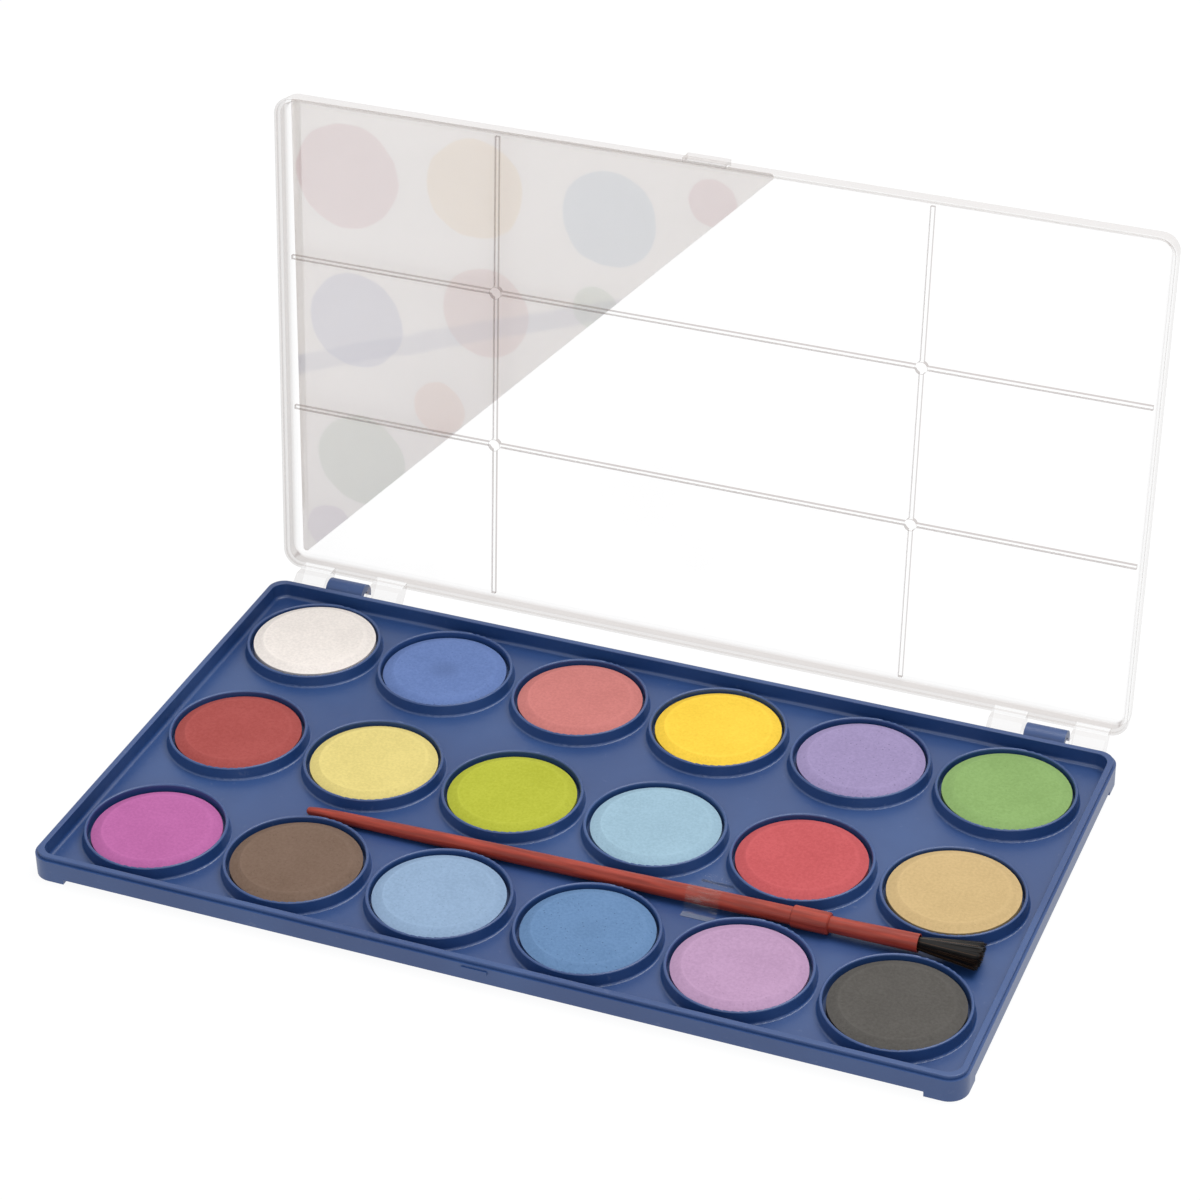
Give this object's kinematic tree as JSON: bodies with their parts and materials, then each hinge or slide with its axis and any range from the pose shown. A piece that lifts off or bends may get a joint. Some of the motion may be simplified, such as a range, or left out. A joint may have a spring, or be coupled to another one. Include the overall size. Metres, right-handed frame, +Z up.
{
  "type": "watercolour paint set",
  "caption": "Shallow blue tray with round paint tablets in ring cups, a clear hinged lid standing open with a paper label, and a round brush taped in a channel",
  "frame": {"origin": "under the middle of the whole open set's bounding box, on the table", "axes": "X along the hinge, the set's longest extent; Y from the front latch to the hinge; Z up"},
  "size_m": [0.2172, 0.1462, 0.1314],
  "materials": {
    "tray": "moulded blue polypropylene, satin",
    "lid": "clear polystyrene",
    "label": "matt paper",
    "brush_red": "moulded red plastic",
    "bristle": "dark hair",
    "tape": "clear adhesive tape",
    "paint_white": "pressed watercolour, matt",
    "paint_blue": "pressed watercolour, matt",
    "paint_coral": "pressed watercolour, matt",
    "paint_yellow": "pressed watercolour, matt",
    "paint_lavender": "pressed watercolour, matt",
    "paint_green": "pressed watercolour, matt",
    "paint_brick_red": "pressed watercolour, matt",
    "paint_pale_yellow": "pressed watercolour, matt",
    "paint_lime": "pressed watercolour, matt",
    "paint_sky_blue": "pressed watercolour, matt",
    "paint_red": "pressed watercolour, matt",
    "paint_tan": "pressed watercolour, matt",
    "paint_magenta": "pressed watercolour, matt",
    "paint_brown": "pressed watercolour, matt",
    "paint_light_blue": "pressed watercolour, matt",
    "paint_mid_blue": "pressed watercolour, matt",
    "paint_lilac": "pressed watercolour, matt",
    "paint_dark_grey": "pressed watercolour, matt"
  },
  "bodies": {
    "tray": {"tray": "tray", "tablet_white": "paint_white", "tablet_blue": "paint_blue", "tablet_coral": "paint_coral", "tablet_yellow": "paint_yellow", "tablet_lavender": "paint_lavender", "tablet_green": "paint_green", "tablet_brick_red": "paint_brick_red", "tablet_pale_yellow": "paint_pale_yellow", "tablet_lime": "paint_lime", "tablet_sky_blue": "paint_sky_blue", "tablet_red": "paint_red", "tablet_tan": "paint_tan", "tablet_magenta": "paint_magenta", "tablet_brown": "paint_brown", "tablet_light_blue": "paint_light_blue", "tablet_mid_blue": "paint_mid_blue", "tablet_lilac": "paint_lilac", "tablet_dark_grey": "paint_dark_grey"},
    "lid": {"lid": "lid", "lid_label": "label"},
    "brush": {"brush_handle": "brush_red", "brush_ferrule": "brush_red", "brush_bristles": "bristle", "brush_tape": "tape"}
  },
  "joints": [
    {"name": "lid_hinge", "type": "hinge", "parent": "tray", "child": "lid", "pos_m": [0, 0.05433, 0.00345], "axis": [1, 0, 0], "range_deg": [0, 95.5]},
    {"name": "brush_lift", "type": "slide", "parent": "tray", "child": "brush", "axis": [0, 0, 1], "range_m": [0, 0.00006]}
  ]
}
